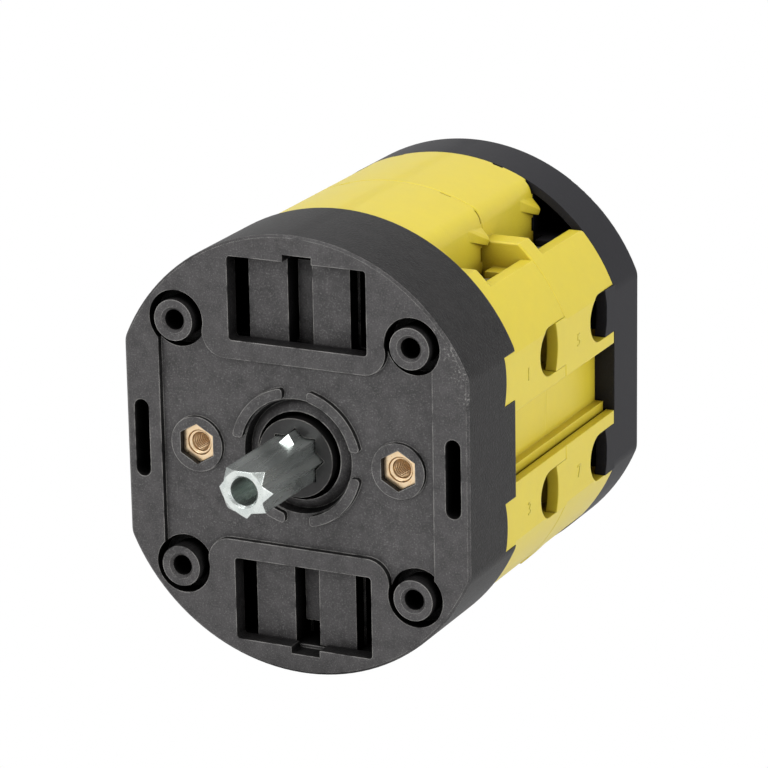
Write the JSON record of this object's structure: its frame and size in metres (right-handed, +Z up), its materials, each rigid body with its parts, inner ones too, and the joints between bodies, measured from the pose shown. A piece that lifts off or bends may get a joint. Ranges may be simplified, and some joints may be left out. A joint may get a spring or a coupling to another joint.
{
  "type": "rotary cam switch",
  "caption": "Panel-mounted rotary cam switch without its handle: dark front frame, yellow contact decks, dark rear cover and a star-section shaft.",
  "frame": {"origin": "where the shaft axis meets the mounting plane of the front frame", "axes": "+X right seen from the front, +Z up, -Y out of the front face along the shaft"},
  "size_m": [0.0526, 0.0766, 0.0634],
  "materials": {
    "black_plastic": "moulded, fine grain, slightly worn edges",
    "yellow_plastic": "moulded, satin",
    "inner_plastic": "moulded, plain",
    "insert_brass": "turned, bright",
    "contact_brass": "stamped",
    "zinc_plated_steel": "zinc plated, slightly blue",
    "spring_steel": "drawn wire"
  },
  "bodies": {
    "stator": {"back_cover": "black_plastic", "deck_1_clamp_lower_left": "zinc_plated_steel", "deck_1_clamp_lower_right": "zinc_plated_steel", "deck_1_clamp_upper_left": "zinc_plated_steel", "deck_1_clamp_upper_right": "zinc_plated_steel", "deck_1_contact_lower_left": "contact_brass", "deck_1_contact_lower_right": "contact_brass", "deck_1_contact_upper_left": "contact_brass", "deck_1_contact_upper_right": "contact_brass", "deck_1_housing": "yellow_plastic", "deck_1_spring_lower": "spring_steel", "deck_1_spring_upper": "spring_steel", "deck_1_terminal_screws": "zinc_plated_steel", "deck_2_clamp_lower_left": "zinc_plated_steel", "deck_2_clamp_lower_right": "zinc_plated_steel", "deck_2_clamp_upper_left": "zinc_plated_steel", "deck_2_clamp_upper_right": "zinc_plated_steel", "deck_2_contact_lower_left": "contact_brass", "deck_2_contact_lower_right": "contact_brass", "deck_2_contact_upper_left": "contact_brass", "deck_2_contact_upper_right": "contact_brass", "deck_2_housing": "yellow_plastic", "deck_2_spring_lower": "spring_steel", "deck_2_spring_upper": "spring_steel", "deck_2_terminal_screws": "zinc_plated_steel", "front_frame": "black_plastic", "head_plate": "black_plastic", "index_spring_lower": "spring_steel", "index_spring_upper": "spring_steel", "insert_left": "insert_brass", "insert_right": "insert_brass", "tie_screws": "zinc_plated_steel"},
    "rotor": {"shaft": "zinc_plated_steel", "shaft_hub": "black_plastic", "index_wheel": "inner_plastic", "deck_1_cam": "inner_plastic", "deck_2_cam": "inner_plastic", "shaft_clip": "spring_steel"},
    "index_upper": {"index_slider_upper": "black_plastic"},
    "index_lower": {"index_slider_lower": "black_plastic"},
    "deck_1_carrier_upper": {"deck_1_plunger_upper": "inner_plastic", "deck_1_bridge_upper": "contact_brass"},
    "deck_1_carrier_lower": {"deck_1_plunger_lower": "inner_plastic", "deck_1_bridge_lower": "contact_brass"},
    "deck_2_carrier_upper": {"deck_2_plunger_upper": "inner_plastic", "deck_2_bridge_upper": "contact_brass"},
    "deck_2_carrier_lower": {"deck_2_plunger_lower": "inner_plastic", "deck_2_bridge_lower": "contact_brass"}
  },
  "joints": [
    {"name": "shaft_turn", "type": "hinge", "parent": "stator", "child": "rotor", "pos_m": [0, 0, 0], "axis": [0, 1, 0], "range_deg": [0, 90]},
    {"name": "deck_1_contact_upper", "type": "slide", "parent": "stator", "child": "deck_1_carrier_upper", "axis": [0, 0, -1], "range_m": [0, 0.003], "deforming": ["deck_1_spring_upper"]},
    {"name": "deck_1_contact_lower", "type": "slide", "parent": "stator", "child": "deck_1_carrier_lower", "axis": [0, 0, 1], "range_m": [0, 0.003], "deforming": ["deck_1_spring_lower"]},
    {"name": "deck_2_contact_upper", "type": "slide", "parent": "stator", "child": "deck_2_carrier_upper", "axis": [0, 0, -1], "range_m": [0, 0.003], "deforming": ["deck_2_spring_upper"]},
    {"name": "deck_2_contact_lower", "type": "slide", "parent": "stator", "child": "deck_2_carrier_lower", "axis": [0, 0, 1], "range_m": [0, 0.003], "deforming": ["deck_2_spring_lower"]},
    {"name": "index_upper_slide", "type": "slide", "parent": "stator", "child": "index_upper", "axis": [0, 0, -1], "range_m": [0, 0.0011], "deforming": ["index_spring_upper"]},
    {"name": "index_lower_slide", "type": "slide", "parent": "stator", "child": "index_lower", "axis": [0, 0, 1], "range_m": [0, 0.0011], "deforming": ["index_spring_lower"]}
  ],
  "couplings": [
    {"joint": "deck_1_contact_upper", "follows": "shaft_turn", "m_per_rad": 0.0019},
    {"joint": "deck_1_contact_lower", "follows": "shaft_turn", "m_per_rad": 0.0019},
    {"joint": "deck_2_contact_upper", "follows": "shaft_turn", "m_per_rad": 0.0019},
    {"joint": "deck_2_contact_lower", "follows": "shaft_turn", "m_per_rad": 0.0019}
  ]
}
